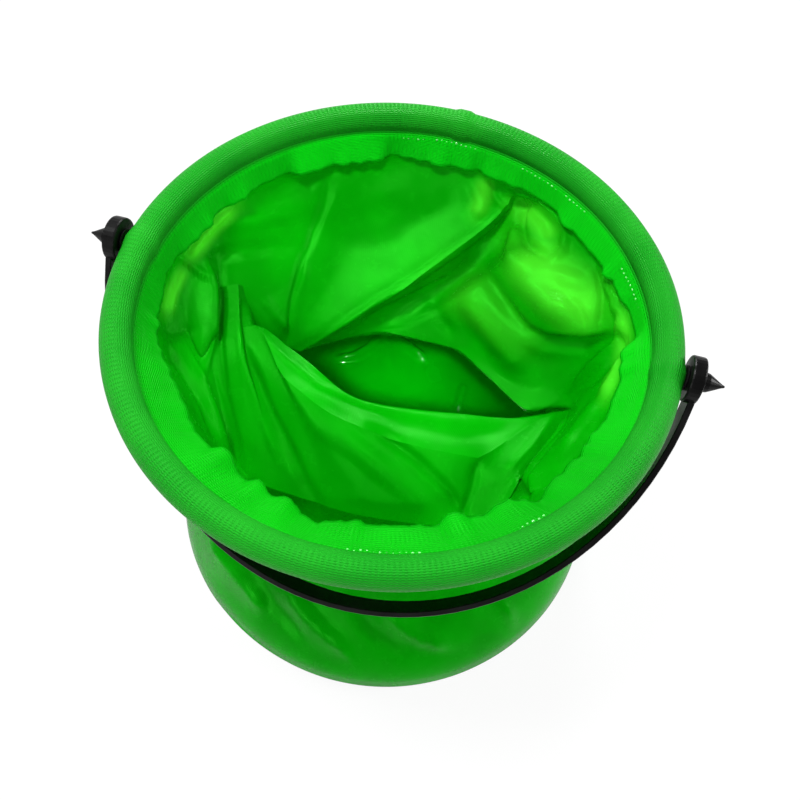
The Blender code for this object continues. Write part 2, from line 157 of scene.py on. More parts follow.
class Finish:
    # a Principled material with short calls for its nodes
    def __init__(self, name, roughness, **sockets):
        self.material = bpy.data.materials.new(name)
        self.material.use_nodes = True
        self.tree = self.material.node_tree
        self.shader = self.tree.nodes["Principled BSDF"]
        self.shader.inputs["Roughness"].default_value = roughness
        for socket, value in sockets.items():
            self.shader.inputs[socket.replace("_", " ")].default_value = value

    def node(self, kind, **settings):
        made = self.tree.nodes.new("ShaderNode" + kind)
        for name, value in settings.items():
            setattr(made, name, value)
        return made

    def feed(self, socket, value):
        if isinstance(value, (int, float)):
            socket.default_value = value
        elif isinstance(value, tuple):
            socket.default_value = (*value, 1) if len(value) == 3 and socket.type == "RGBA" else value
        else:
            self.tree.links.new(value, socket)

    def math(self, operation, first, second=0.0, third=0.0):
        made = self.node("Math", operation=operation)
        for socket, value in zip(made.inputs, (first, second, third)):
            self.feed(socket, value)
        return made.outputs[0]

    def mix(self, share, first, second):
        made = self.node("Mix", data_type="RGBA")
        self.feed(made.inputs[0], share)
        self.feed(made.inputs[6], first)
        self.feed(made.inputs[7], second)
        return made.outputs[2]

    def ramp(self, value, low, high, fromLow=0.3, fromHigh=0.7):
        # from low to high while the value goes from fromLow to fromHigh
        made = self.node("MapRange", interpolation_type="SMOOTHSTEP")
        for socket, number in zip(made.inputs, (value, fromLow, fromHigh, low, high)):
            self.feed(socket, number)
        return made.outputs[0]

    def clouded(self, cloud, colours, fromLow=0.3, fromHigh=0.7):
        return self.mix(self.ramp(cloud, 0, 1, fromLow, fromHigh), *colours)

    def noise(self, vector, scale, detail=3.0, roughness=0.5):
        made = self.node("TexNoise")
        self.feed(made.inputs["Vector"], vector)
        made.inputs["Scale"].default_value = scale
        made.inputs["Detail"].default_value = detail
        made.inputs["Roughness"].default_value = roughness
        return made.outputs["Fac"]

    def attribute(self, name):
        return self.node("Attribute", attribute_name=name).outputs["Fac"]

    def uv(self):
        return self.node("UVMap", uv_map="cloth").outputs[0]

    def place(self):
        return self.node("TexCoord").outputs["Object"]

    def weave(self, vector, pitchAcross, pitchAlong):
        # crossing threads, 0 in the gaps and 1 on the crowns
        parts = self.node("SeparateXYZ")
        self.feed(parts.inputs[0], vector)
        across = self.math("SINE", self.math("MULTIPLY", parts.outputs[0], math.tau / pitchAcross))
        along = self.math("SINE", self.math("MULTIPLY", parts.outputs[1], math.tau / pitchAlong))
        return self.math("MULTIPLY_ADD", self.math("MULTIPLY", across, along), 0.5, 0.5)

    def ribs(self, vector, pitch):
        # ridges across the cloth, from -1 to 1
        parts = self.node("SeparateXYZ")
        self.feed(parts.inputs[0], vector)
        return self.math("SINE", self.math("MULTIPLY", parts.outputs[1], math.tau / pitch))

    def bump(self, height, distance, strength=1.0):
        made = self.node("Bump")
        made.inputs["Distance"].default_value = distance
        made.inputs["Strength"].default_value = strength
        self.feed(made.inputs["Height"], height)
        self.tree.links.new(made.outputs[0], self.shader.inputs["Normal"])

    def colour(self, value):
        self.feed(self.shader.inputs["Base Color"], value)

    def rough(self, value):
        self.feed(self.shader.inputs["Roughness"], value)

    def blendIn(self, kind, colour, share):
        # another shader over the first: translucent for thin cloth, emission for the floor
        other = self.node(kind)
        both = self.node("MixShader")
        end = self.tree.nodes["Material Output"].inputs["Surface"]
        self.feed(other.inputs["Color"], colour)
        values = (share, self.shader.outputs[0], other.outputs[0], both.outputs[0])
        for socket, value in zip((*both.inputs[:3], end), values):
            self.feed(socket, value)


studio = {
    # soft square lamps that look at the bucket's middle: place, size and power
    "lamps": {
        "lampBack": ((-0.20, 0.80, 0.72), 0.28, 8.0),
        "lampTop": ((-0.30, -0.04, 1.16), 0.20, 9.4),
        "lampFront": ((-0.20, -0.90, 0.65), 0.40, 3.8),
        "lampLeft": ((-0.85, 0.20, 0.65), 0.25, 2.0),
        "lampRight": ((0.85, 0.25, 0.50), 0.35, 6.0),
    },
    "lampAim": (0, 0, 0.12),
    # a narrow lamp that looks down through the slot on to the bottom
    "slotPlace": (0.110, -0.506, 0.980),
    "slotAim": (-0.010, 0.070, 0.0),
    "slotPower": 32,
    "slotCone": math.radians(6.4),
    "slotBlend": 0.7,
    "slotSize": 0.05,
    # the white surroundings: their strength as light, and how much more of it the camera sees
    "surroundings": 0.36,
    "seenMore": 0.64,
    "floorSize": 20,
    "floorGrey": (0.80, 0.80, 0.80),
    "floorRoughness": 0.6,
    "floorGlow": 0.90,
}


def addLamp(name, kind, place, aim, power):
    data = bpy.data.lights.new(name, kind)
    data.energy = power
    lamp = bpy.data.objects.new(name, data)
    scene.collection.objects.link(lamp)
    lamp.location = place
    lamp.rotation_euler = (Vector(place) - Vector(aim)).to_track_quat("Z", "Y").to_euler()
    return data


def lightStudio():
    for name, (place, size, power) in studio["lamps"].items():
        lamp = addLamp(name, "AREA", place, studio["lampAim"], power)
        lamp.shape = "SQUARE"
        lamp.size = size
    slot = addLamp("lampSlot", "SPOT", studio["slotPlace"], studio["slotAim"], studio["slotPower"])
    slot.spot_size = studio["slotCone"]
    slot.spot_blend = studio["slotBlend"]
    slot.shadow_soft_size = studio["slotSize"]


def lightSurroundings():
    world = bpy.data.worlds.new("studio")
    scene.world = world
    world.use_nodes = True
    tree = world.node_tree
    back = tree.nodes["Background"]
    path = tree.nodes.new("ShaderNodeLightPath")
    strength = tree.nodes.new("ShaderNodeMath")
    strength.operation = "MULTIPLY_ADD"
    strength.inputs[1].default_value = studio["seenMore"]
    strength.inputs[2].default_value = studio["surroundings"]
    tree.links.new(path.outputs["Is Camera Ray"], strength.inputs[0])
    tree.links.new(strength.outputs[0], back.inputs["Strength"])
    back.inputs["Color"].default_value = (1, 1, 1, 1)


def floorFinish():
    # grey to the lamps, nearly white to the camera and in reflections
    f = Finish("paleFloor", studio["floorRoughness"])
    f.colour(studio["floorGrey"])
    rays = f.node("LightPath")
    either = f.math("MAXIMUM", rays.outputs["Is Camera Ray"], rays.outputs["Is Glossy Ray"])
    f.blendIn("Emission", (1, 1, 1), f.math("MULTIPLY", either, studio["floorGlow"]))
    return f.material


def layFloor():
    bm = bmesh.new()
    bmesh.ops.create_grid(bm, x_segments=1, y_segments=1, size=studio["floorSize"])
    mesh = bpy.data.meshes.new("floor")
    bm.to_mesh(mesh)
    bm.free()
    mesh.materials.append(floorFinish())
    floor = bpy.data.objects.new("floor", mesh)
    scene.collection.objects.link(floor)


scene.view_settings.view_transform = "Standard"
placeCamera()
lightStudio()
lightSurroundings()
layFloor()
print("camera, light and floor set")

# pairs of colours that cloud into each other, the colours of crowns, the painted light of lit cloth, the
# pitches of the weaves in metres, and the shares of light that get through
coats = {
    "coatedColours": ((0.000, 0.370, 0.000), (0.001, 0.500, 0.001)),
    "coatedCrowns": (0.004, 0.620, 0.008),
    # painted light and highlight: the colour of cloth where light comes through it and on the petals'
    # highlights
    "coatedLit": (0.125, 0.900, 0.035),
    "coatedPitch": 0.0011,
    "coatedThrough": 0.42,
    "rollColours": ((0.008, 0.260, 0.012), (0.014, 0.330, 0.016)),
    "flapColours": ((0.000, 0.380, 0.001), (0.001, 0.480, 0.003)),
    # painted light: the flap's colour where light comes through it
    "flapLit": (0.002, 0.820, 0.008),
    "sleeveCrowns": (0.010, 0.560, 0.016),
    "sleevePitches": (0.0022, 0.0010),
    "ribPitch": 0.00095,
    "sleeveThrough": 0.25,
    # painted light: the bottom's greens are far lighter than the same cloth on the wall, for light that
    # reaches the bottom through the walls
    "bottomPaintedLightColours": ((0.000, 0.700, 0.002), (0.001, 0.860, 0.004)),
    "plasticColours": ((0.001, 0.001, 0.001), (0.004, 0.004, 0.004)),
    "tubeColours": ((0.72, 0.72, 0.69), (0.78, 0.78, 0.75)),
    "wireColours": ((0.55, 0.56, 0.57), (0.66, 0.67, 0.68)),
    # the weld's green, clouded with a pale green that is painted glint
    "weldAndPaintedGlintColours": ((0.020, 0.520, 0.030), (0.300, 0.900, 0.320)),
}


def coatedFinish():
    f = Finish("coatedFabric", 0.22, Specular_IOR_Level=0.70, Specular_Tint=(0.06, 1.00, 0.05, 1))
    threads = f.weave(f.uv(), coats["coatedPitch"], coats["coatedPitch"])
    cloud = f.noise(f.place(), 22)
    fine = f.noise(f.place(), 160, 2)
    green = f.clouded(cloud, coats["coatedColours"], 0.35, 0.68)
    green = f.mix(f.math("MULTIPLY", threads, 0.22), green, coats["coatedCrowns"])
    # painted light and highlight, laid on by the backlight attribute
    green = f.mix(f.attribute("backlight"), green, coats["coatedLit"])
    f.colour(green)
    f.blendIn("BsdfTranslucent", green, coats["coatedThrough"])
    f.rough(f.ramp(fine, 0.17, 0.28))
    f.bump(f.math("ADD", f.math("MULTIPLY", threads, 0.35), f.math("MULTIPLY", cloud, 2.0)), 0.00018)
    return f.material


def sleeveFinish():
    f = Finish("sleeveFabric", 0.45, Specular_IOR_Level=0.25, Specular_Tint=(0.10, 1.00, 0.12, 1))
    threads = f.weave(f.uv(), *coats["sleevePitches"])
    ribs = f.ribs(f.uv(), coats["ribPitch"])
    cloud = f.noise(f.place(), 30)
    flap = f.clouded(cloud, coats["flapColours"])
    # painted light from the backlight attribute, lighter towards the back
    flap = f.mix(f.attribute("backlight"), flap, coats["flapLit"])
    green = f.mix(f.attribute("flap"), f.clouded(cloud, coats["rollColours"]), flap)
    green = f.mix(f.math("MULTIPLY", threads, 0.30), green, coats["sleeveCrowns"])
    f.colour(green)
    f.blendIn("BsdfTranslucent", green, coats["sleeveThrough"])
    f.rough(f.ramp(cloud, 0.36, 0.5))
    f.bump(f.math("ADD", f.math("MULTIPLY", ribs, 0.5), f.math("MULTIPLY", threads, 0.8)), 0.00022)
    return f.material


def bottomFinish():
    f = Finish("bottomFabric", 0.24, Specular_IOR_Level=0.5, Specular_Tint=(0.10, 1.00, 0.10, 1),
               Coat_Weight=0.9, Coat_Roughness=0.09)
    cloud = f.noise(f.place(), 16)
    # painted light in the bottom's lighter greens
    f.colour(f.clouded(cloud, coats["bottomPaintedLightColours"]))
    f.rough(f.ramp(cloud, 0.16, 0.30))
    f.bump(f.noise(f.place(), 60), 0.0006, 0.5)
    return f.material


def plasticFinish():
    f = Finish("blackPlastic", 0.42, Specular_IOR_Level=0.12)
    scuff = f.noise(f.place(), 45, 4, 0.6)
    f.colour(f.clouded(scuff, coats["plasticColours"], 0.4, 0.75))
    f.rough(f.ramp(scuff, 0.28, 0.46))
    f.bump(f.noise(f.place(), 1400, 2), 0.00005, 0.5)
    return f.material


def paleTubeFinish():
    f = Finish("paleTube", 0.5)
    f.colour(f.mix(f.noise(f.place(), 40), *coats["tubeColours"]))
    return f.material


def wireFinish():
    f = Finish("drawnWire", 0.35, Metallic=1.0)
    f.colour(f.mix(f.noise(f.place(), 80), *coats["wireColours"]))
    return f.material


def weldFinish():
    f = Finish("weldBead", 0.12, Specular_IOR_Level=1.0, Coat_Weight=0.6, Coat_Roughness=0.05)
    # the pale green in the cloud is painted glint
    f.colour(f.mix(f.noise(f.place(), 300, 2), *coats["weldAndPaintedGlintColours"]))
    return f.material


finishes = {
    "coated": coatedFinish(),
    "sleeve": sleeveFinish(),
    "bottom": bottomFinish(),
    "plastic": plasticFinish(),
    "tube": paleTubeFinish(),
    "wire": wireFinish(),
    "weld": weldFinish(),
}
print("finishes made")


def ringCloth(rows):
    # closed rings of points, each drawn out of the one before it
    bm = bmesh.new()
    bmesh.ops.create_circle(bm, segments=len(rows[0]), radius=0.1)
    bm.verts.ensure_lookup_table()
    ring = list(bm.verts)
    for vert, place in zip(ring, rows[0]):
        vert.co = place
    rings = [ring]
    for row in rows[1:]:
        last = rings[-1]
        edges = [bm.edges.get(pair) for pair in zip(last, last[1:] + last[:1])]
        made = bmesh.ops.extrude_edge_only(bm, edges=edges)["geom"]
        fresh = {v for v in made if isinstance(v, bmesh.types.BMVert)}
        beside = [[edge.other_vert(v) for edge in v.link_edges] for v in last]
        ring = [next(v for v in others if v in fresh) for others in beside]
        for vert, place in zip(ring, row):
            vert.co = place
        rings.append(ring)
    return bm, rings


def clothMap(bm, rings, width, lengths):
    # the cloth's own map in metres: across round the ring, along down the rows
    count = len(rings[0])
    spot = {vert: (row, column) for row, ring in enumerate(rings) for column, vert in enumerate(ring)}
    layer = bm.loops.layers.uv.new("cloth")
    for face in bm.faces:
        columns = [spot[loop.vert][1] for loop in face.loops]
        wraps = max(columns) == count - 1 and min(columns) == 0
        for loop in face.loops:
            row, column = spot[loop.vert]
            if wraps and column == 0:
                column = count
            loop[layer].uv = (width * column / count, lengths[row])


def rowLengths(rows):
    # mean length of cloth from the first row to each
    total, lengths = 0.0, [0.0]
    for upper, lower in zip(rows, rows[1:]):
        total += sum((a - b).length for a, b in zip(upper, lower)) / len(upper)
        lengths.append(total)
    return lengths


def finishPiece(name, bm, finish):
    bmesh.ops.recalc_face_normals(bm, faces=bm.faces)
    mesh = bpy.data.meshes.new(name)
    bm.to_mesh(mesh)
    bm.free()
    for face in mesh.polygons:
        face.use_smooth = True
    piece = bpy.data.objects.new(name, mesh)
    scene.collection.objects.link(piece)
    mesh.materials.append(finishes[finish])
    return piece


def applyAll(piece):
    # the piece's modifiers, made its own mesh
    bpy.context.view_layer.update()
    graph = bpy.context.evaluated_depsgraph_get()
    fixed = bpy.data.meshes.new_from_object(piece.evaluated_get(graph))
    old = piece.data
    piece.modifiers.clear()
    piece.data = fixed
    bpy.data.meshes.remove(old)


def subdivide(piece, levels):
    made = piece.modifiers.new("Subdivide", "SUBSURF")
    made.levels = levels
    made.render_levels = levels
    made.use_limit_surface = False


def thicken(piece, thickness):
    # evenly to both sides
    made = piece.modifiers.new("Sheet", "SOLIDIFY")
    made.thickness = thickness
    made.offset = 0.0


wall = {
    "clothWidth": 0.80,
    # where the cloth starts in the rim, passes behind the flap, and goes under the waist and down
    # to the base
    "neckRadius": 0.1168,
    "neckHeight": 0.1893,
    "behindHeight": 0.1735,
    "behindFlap": 0.0030,
    "lowerShares": (0.26, 0.52, 0.77),
    "footRadii": (0.1274, 0.1296, 0.1304),
    "footHeights": (0.0166, 0.0068, 0.0030),
    "underOut": 0.004,
    "underDrop": 0.008,
    "turn": math.radians(55),
    "thickness": 0.0005,
    "levels": 3,
    "sharpAngle": math.radians(22),
    "stillBelow": 0.004,
    "followsAbove": 0.188,
    # pleats of the lower wall: how many, how deep, their slant, and the share of each row's depth;
    # they fade out towards the front, which the photograph shows
    "pleats": 8,
    "pleatDepth": 0.0055,
    "pleatSlant": math.radians(26),
    "pleatRows": (0.55, 1.0, 0.75),
    "pleatFade": 1.4,
    # the cloth's threads from rim to waist: a name (tongue, front, right or back), the turn at the
    # rim, and seven places; three numbers alone are a pixel of the photograph and a height in mm
    "threads": (
        ("t3", 180, (168, 288, 164), (172, 300, 159), (178, 318, 153), (186, 345, 146),
         (200, 380, 139), (206, 345, 134), (216, 296, 136)),
        ("f0", 192, (160, 330, 160), (176, 360, 152), (202, 385, 140), (213, 350, 139),
         (216, 318, 144), (216, 288, 148), seen(216, 288, 148) + Vector((-1, 5, -13))),
        ("f1", 203, (178, 385, 151), (200, 415, 141), (217, 390, 129), (221, 362, 135),
         (223, 325, 143), (223, 286, 149), seen(223, 286, 149) + Vector((0, 6, -13))),
        ("f2", 212, (198, 425, 144), (218, 448, 132), (229, 440, 117), (231, 400, 128),
         (232, 345, 141), (231, 285, 149), seen(231, 285, 149) + Vector((1, 7, -13))),
        ("f2b", 219, (215, 462, 138), (232, 480, 116), (241, 474, 109), (245, 430, 121),
         (240, 350, 140), (238, 285, 149), seen(238, 285, 149) + Vector((2, 8, -12))),
        ("f3", 225, atAngle(98, 231, 140), atAngle(86, 233, 88), (268, 487, 107), (270, 440, 116),
         (250, 370, 132), (237, 325, 139), (252, 325, 140)),
        ("f4", 230, atAngle(97, 236, 138), atAngle(84, 237, 85), (290, 494, 107), (290, 448, 116),
         (266, 385, 131), (250, 327, 140), (256, 326, 140)),
        ("f5", 234, atAngle(96, 240, 137), atAngle(83, 240, 84), (308, 500, 106), (303, 450, 119),
         (280, 390, 133), (262, 327, 140), (266, 329, 139.5)),
        ("f6", 238, atAngle(95, 244, 136), atAngle(82, 244, 83), (325, 506, 106), (316, 455, 119),
         (292, 402, 132), (271, 350, 139), (286, 346, 137)),
        ("f7", 243, atAngle(94, 248, 135), atAngle(81, 248, 83), (342, 511, 107), (330, 462, 120),
         (305, 418, 131), (281, 377, 138), (300, 355, 136)),
        ("f8", 248, atAngle(94, 252, 135), atAngle(80, 252, 83), (358, 515, 107), (346, 470, 120),
         (322, 434, 130), (297, 388, 137), (315, 367, 135)),
        ("f9", 253, atAngle(93, 256, 135), atAngle(80, 256, 83), (375, 518, 108), (366, 482, 117),
         (346, 448, 127), (320, 408, 135), (337, 388, 133)),
        ("f10", 259, atAngle(93, 261, 135), atAngle(79, 261, 83), (393, 521, 108), (386, 488, 117),
         (368, 456, 126), (342, 420, 133), (358, 400, 130)),
        ("f11", 265, atAngle(93, 266, 135), atAngle(79, 266, 84), (412, 523, 109), (407, 493, 115),
         (392, 462, 123), (371, 430, 131), (385, 406, 128)),
        ("f12", 271, atAngle(93, 271, 136), atAngle(79, 271, 85), (432, 525, 110), (428, 498, 114),
         (418, 472, 121), (402, 443, 128), (415, 410, 125)),
        ("f13", 277, atAngle(93, 277, 137), atAngle(80, 277, 87), (450, 525, 111), (448, 500, 116),
         (444, 478, 122), (441, 452, 126), (443, 413, 123)),
        ("f14", 283, atAngle(94, 283, 138), atAngle(81, 283, 89), (465, 524, 112), (463, 504, 114),
         (468, 482, 119), (478, 458, 124), (480, 417, 121)),
        ("f15", 290, atAngle(95, 290, 140), atAngle(83, 290, 92), (480, 520, 114), (487, 500, 117),
         (493, 475, 121), (503, 445, 122), (505, 419, 119)),
        ("f16", 297, atAngle(97, 297, 142), atAngle(85, 297, 96), (495, 514, 117), (505, 490, 120),
         (516, 460, 122), (528, 422, 120), (528, 418, 118)),
        ("f17", 304, atAngle(98, 304, 145), atAngle(92, 304, 122), (508, 503, 122), (518, 480, 124),
         (543, 446, 121), (571, 410, 116), (569, 409, 114)),
        ("f17v", 308, (522, 504, 148), (518, 500, 132), (518, 494, 118), (521, 482, 119),
         (545, 445, 125), (572, 410, 117), (569, 408, 113.5)),
        ("f18", 311, (533, 500, 158), (531, 496, 153), (526, 487, 148), (520, 473, 142),
         (547, 443, 131), (573, 409, 118), (569, 408, 113)),
        ("r1", 322, (562, 485, 160), (557, 477, 156), (550, 465, 151), (548, 452, 144),
         (563, 431, 131), (575, 409, 118), (565, 408, 112)),
        ("r2", 334, (592, 445, 162), (587, 440, 158), (580, 432, 153), (576, 424, 145),
         (575, 415, 132), (575, 406, 118), (558, 408, 111)),
        ("r3", 345, (610, 408, 163), (604, 405, 159), (597, 402, 154), (589, 399, 145),
         (581, 400, 132), (573, 402, 117), (550, 409, 110)),
        ("r4", 355, (622, 375, 163), (616, 376, 159), (608, 377, 154), (597, 380, 145),
         (585, 388, 131), (570, 397, 116), (540, 411, 109)),
        ("r5", 3, (626, 342, 161), (619, 342, 158), (611, 346, 153), (597, 358, 144),
         (580, 376, 130), (560, 396, 114), (529, 415, 108)),
        ("r6", 9, (620, 322, 166), (616, 332, 158), (604, 343, 148), (585, 354, 136),
         (568, 368, 124), (543, 392, 111), (517, 403, 107)),
        ("r7", 15, (612, 302, 168), (608, 318, 162), (592, 338, 153), (572, 345, 141),
         (550, 352, 127), (527, 378, 112), (504, 391, 106)),
        ("r8", 23, (604, 283, 169), (596, 300, 164), (578, 322, 156), (555, 335, 145),
         (532, 345, 130), (512, 366, 112), (490, 378, 106)),
        ("r9", 31, (590, 262, 170), (582, 278, 165), (562, 298, 158), (538, 318, 147),
         (515, 335, 131), (497, 354, 113), (475, 364, 106)),
        ("r10", 39, (570, 240, 171), (566, 256, 165), (548, 275, 158), (523, 298, 147),
         (500, 322, 132), (482, 342, 114), (461, 349, 107)),
        ("r11", 47, (556, 222, 171), (552, 240, 165), (532, 256, 159), (507, 278, 149),
         (484, 306, 134), (464, 332, 115), (440, 344, 108)),
        ("r12", 55, (540, 205, 171), (532, 216, 166), (517, 232, 160), (493, 256, 150),
         (468, 292, 135), (445, 326, 116), (415, 338, 109)),
        ("r13", 62, (525, 196, 169), (518, 206, 163), (504, 226, 154), (478, 262, 140),
         (450, 300, 127), (420, 324, 115), (383, 331, 110)),
        ("r14", 67, (520, 194, 167), (512, 205, 158), (492, 228, 146), (455, 270, 130),
         (415, 308, 119), (375, 326, 112), (342, 338, 110)),
        ("r15", 71, (517, 193, 168), (506, 205, 164), (490, 222, 158), (457, 247, 148),
         (400, 289, 134), (340, 329, 120), (300, 351, 112)),
        ("b1", 80, (500, 187, 169), (488, 200, 164), (470, 217, 158), (430, 247, 148),
         (375, 290, 134), (322, 332, 121), (294, 349, 113)),
        ("b2", 90, (465, 182, 169), (455, 193, 164), (438, 210, 158), (403, 242, 147),
         (352, 286, 134), (310, 332, 121), (290, 348, 114)),
        ("b3", 101, (425, 177, 169), (415, 190, 164), (400, 208, 158), (370, 240, 147),
         (330, 285, 134), (302, 328, 122), (287, 347, 115)),
        ("b4", 112, (382, 174, 169), (374, 188, 164), (362, 206, 158), (340, 237, 148),
         (312, 283, 136), (295, 326, 124), (284, 346, 116)),
        ("b5", 123, (335, 179, 169), (330, 190, 165), (324, 205, 160), (316, 230, 151),
         (302, 282, 139), (287, 325, 127), (280, 343, 118)),
        ("b6", 133, (300, 184, 169), (296, 195, 165), (291, 210, 161), (286, 238, 152),
         (281, 285, 141), (278, 322, 130), (275, 340, 122)),
        ("b7", 143, (265, 194, 169), (261, 205, 165), (257, 220, 161), (255, 247, 153),
         (258, 288, 143), (266, 318, 134), (268, 335, 126)),
        ("b8", 152, (238, 207, 169), (235, 217, 166), (231, 230, 162), (231, 252, 154),
         (238, 283, 146), (252, 308, 138), (258, 326, 130)),
        ("b9", 160, (213, 224, 169), (211, 234, 166), (210, 247, 161), (213, 264, 153),
         (221, 284, 147), (235, 300, 141), (245, 314, 133)),
        ("t1", 167, (193, 244, 168), (198, 252, 166), (206, 262, 162), (214, 285, 157),
         (216, 325, 149), (222, 318, 137), (232, 303, 135)),
        ("t2", 174, (180, 263, 166), (184, 272, 163), (192, 288, 158), (199, 318, 152),
         (207, 360, 143), (212, 330, 134), (222, 299, 135)),
    ),
    # rows: 0 neck, 1 behind the flap, 2 to 8 the seven places, 9 under the waist, 10 to 12 down the
    # lower wall, 13 to 15 the foot; creases along a row: first and last thread, and how sharp
    "rowCreases": (
        (7, "f0", "f2b", 1.0), (7, "f3", "f17", 1.0), (8, "f3", "f17", 0.8), (4, "f0", "f2b", 0.6),
        (4, "f2b", "f17", 1.0), (7, "r12", "b4", 0.3), (8, "r5", "b6", 0.8),
    ),
    # creases down a thread: first and last row, and how sharp
    "threadCreases": (
        ("r15", 2, 8, 0.9), ("f18", 3, 7, 0.9), ("f2b", 5, 8, 1.0), ("f3", 5, 8, 0.9), ("f0", 5, 8, 0.7),
        ("f14", 5, 7, 0.8), ("r5", 4, 7, 0.5), ("b5", 2, 7, 0.5), ("f17", 4, 7, 0.7), ("t2", 4, 7, 0.8),
    ),
    # folds are pressed in below and above these heights, each with its fade; how squarely a face has
    # to look at the camera; and how high the outer folds reach
    "pressBelow": (0.176, 0.006),
    "pressAbove": (0.016, 0.01),
    "pressFacing": 0.25,
    "pressOutside": 0.110,
    # the neck is above this height, and shows which way the normals point
    "neckAbove": 0.182,
    # small unevenness all over: scale, and height in mm
    "ripples": ((34, 0.5), (80, 0.25)),
    # folds pressed into the inside, then into the outside: the pixels that each runs through, its
    # half width in pixels (or both, left and right of its run), its height in mm, above 0 for a
    # ridge, and whether its top is crisp
    "folds": (
        ("panelPleat", ((240, 345), (254, 372), (270, 412), (290, 450), (304, 480), (320, 506)), 9, -2.4),
        ("panelSwell", ((318, 420), (362, 452), (410, 490), (436, 518)), 18, 2.0),
        ("panelValley2", ((371, 428), (417, 460), (450, 492), (466, 520)), 9, -2.4),
        ("panelLine", ((478, 460), (472, 490), (461, 520)), 6, -1.8),
        ("boxLeft", ((216, 300), (220, 345), (226, 395), (238, 445), (240, 470)), 6, -1.6),
        ("boxFold", ((236, 328), (246, 372), (262, 420), (280, 462)), 8, 2.2, "crisp"),
        ("facetFold", ((574, 410), (548, 444), (522, 476), (528, 502)), 6, -2.6),
        ("facetRidge", ((556, 412), (532, 446), (506, 474)), 9, 2.2, "crisp"),
        ("lipEdge", ((258, 330), (284, 356), (318, 384), (362, 404), (420, 414), (480, 419), (540, 416)),
         5, 1.6, "crisp"),
        ("bandSag", ((300, 372), (345, 398), (400, 424), (460, 436), (520, 430)), 10, -0.8),
        ("ridgeLine", ((520, 194), (500, 214), (478, 234), (454, 252), (420, 276), (370, 306), (312, 344)),
         7, 3.0, "crisp"),
        ("ridgeValley", ((518, 214), (498, 240), (476, 258), (450, 280), (412, 300), (364, 324)),
         (26, 8), -6.5),
        ("apexFold", ((521, 200), (519, 224), (526, 244), (546, 257)), 7, -4.6),
        ("arcRidge", ((500, 180), (518, 189), (539, 198), (556, 216), (567, 230), (565, 248), (553, 260)),
         9, 4.2, "crisp"),
        ("arcHollow", ((508, 196), (530, 206), (546, 222), (552, 238)), 9, -2.8),
        ("patchSwell", ((474, 182), (482, 202), (478, 218)), 10, 1.8),
        ("patchFold", ((492, 176), (494, 196), (504, 208)), 6, -1.8),
        ("bulge", ((510, 250), (528, 282), (552, 306), (580, 312)), 22, 4.6),
        ("bulgeTop", ((520, 262), (556, 276), (590, 286)), 16, 2.0),
        ("bulgeDimple", ((566, 298), (578, 306), (586, 326)), 8, -2.6, "crisp"),
        ("rightSwell", ((606, 282), (615, 298), (618, 314)), 8, 3.2),
        ("rightFold", ((596, 268), (602, 296), (600, 326)), 7, -3.0, "crisp"),
        ("underBulge", ((474, 262), (492, 284), (510, 312), (524, 330), (545, 342), (584, 346), (614, 338)),
         11, -5.0),
        ("lowSwell", ((462, 288), (480, 314), (504, 346), (526, 374)), 20, 4.2),
        ("lobe", ((512, 222), (506, 242), (514, 264)), 11, 3.0),
        ("lowFold", ((430, 292), (440, 318), (452, 334)), 8, -2.0),
        ("triangleEdge", ((570, 392), (592, 366), (616, 342), (624, 304)), 7, 3.0, "crisp"),
        ("stripFold", ((586, 388), (600, 376), (622, 350), (628, 326)), 5, -1.8),
        ("stripSwell", ((600, 398), (614, 376), (622, 356)), 6, 2.0),
        ("lowStrip", ((560, 450), (580, 424), (598, 400)), 8, 1.8),
        ("backCrease", ((331, 172), (325, 200), (316, 226), (303, 258), (292, 300), (288, 344)),
         7, -2.6, "crisp"),
        ("backCrease2", ((308, 232), (304, 262), (306, 282)), 5, 1.2),
        ("backBand", ((206, 262), (236, 250), (270, 246), (300, 246)), 12, -1.4),
        ("backSwell", ((232, 226), (262, 220), (292, 212)), 14, 1.6),
        ("backLow", ((262, 298), (276, 316), (290, 330)), 7, 1.4),
        ("backHigh", ((360, 196), (410, 190), (450, 200)), 20, 0.7),
        ("tongueEdge", ((205, 258), (213, 286), (215, 312), (212, 344), (201, 380)), 7, 2.8, "crisp"),
        ("tongueShade", ((220, 262), (224, 300), (222, 340)), 6, -2.0),
        ("streakFold", ((236, 204), (216, 222), (200, 240), (188, 258)), 6, 2.0),
        ("streakCrease", ((174, 252), (186, 263), (198, 271), (211, 279)), 3.5, 2.2),
        ("streakHollow", ((183, 270), (172, 296), (168, 316)), 6, 1.4),
        ("tongueFoot", ((164, 328), (176, 334), (190, 330)), 7, -2.4),
        ("leftFold", ((166, 346), (186, 376), (202, 402), (214, 436)), 6, -2.4),
        ("leftStrip", ((190, 352), (204, 384), (218, 424), (230, 458)), 7, 2.4, "crisp"),
        ("leftFold2", ((212, 360), (220, 396), (230, 432), (236, 462)), 4, -1.6),
    ),
    "outerFolds": (
        ("outerRidge", ((212, 534), (218, 545), (231, 561), (250, 584), (262, 602), (259, 612)),
         (11, 30), 5.0, "crisp"),
        ("outerRidge2", ((284, 582), (291, 590), (306, 611), (324, 629), (340, 642), (352, 658)),
         (11, 32), 5.0, "crisp"),
        ("outerRidge3", ((382, 608), (391, 618), (402, 628), (421, 639), (450, 646)),
         (32, 11), 5.0, "crisp"),
        ("outerValley", ((262, 590), (284, 612), (304, 636)), 9, -2.2),
        ("outerValley2", ((352, 612), (376, 634), (404, 652)), 12, -2.4),
        ("outerRidge4", ((500, 600), (512, 622), (520, 640)), (18, 12), 2.8, "crisp"),
    ),
    # painted light and highlight: a lighter, yellower green where light comes through the cloth and where
    # the petals catch highlights, above a height, with its fade: pixels, half width, strength
    "litAbove": (0.118, 0.014),
    "lit": (
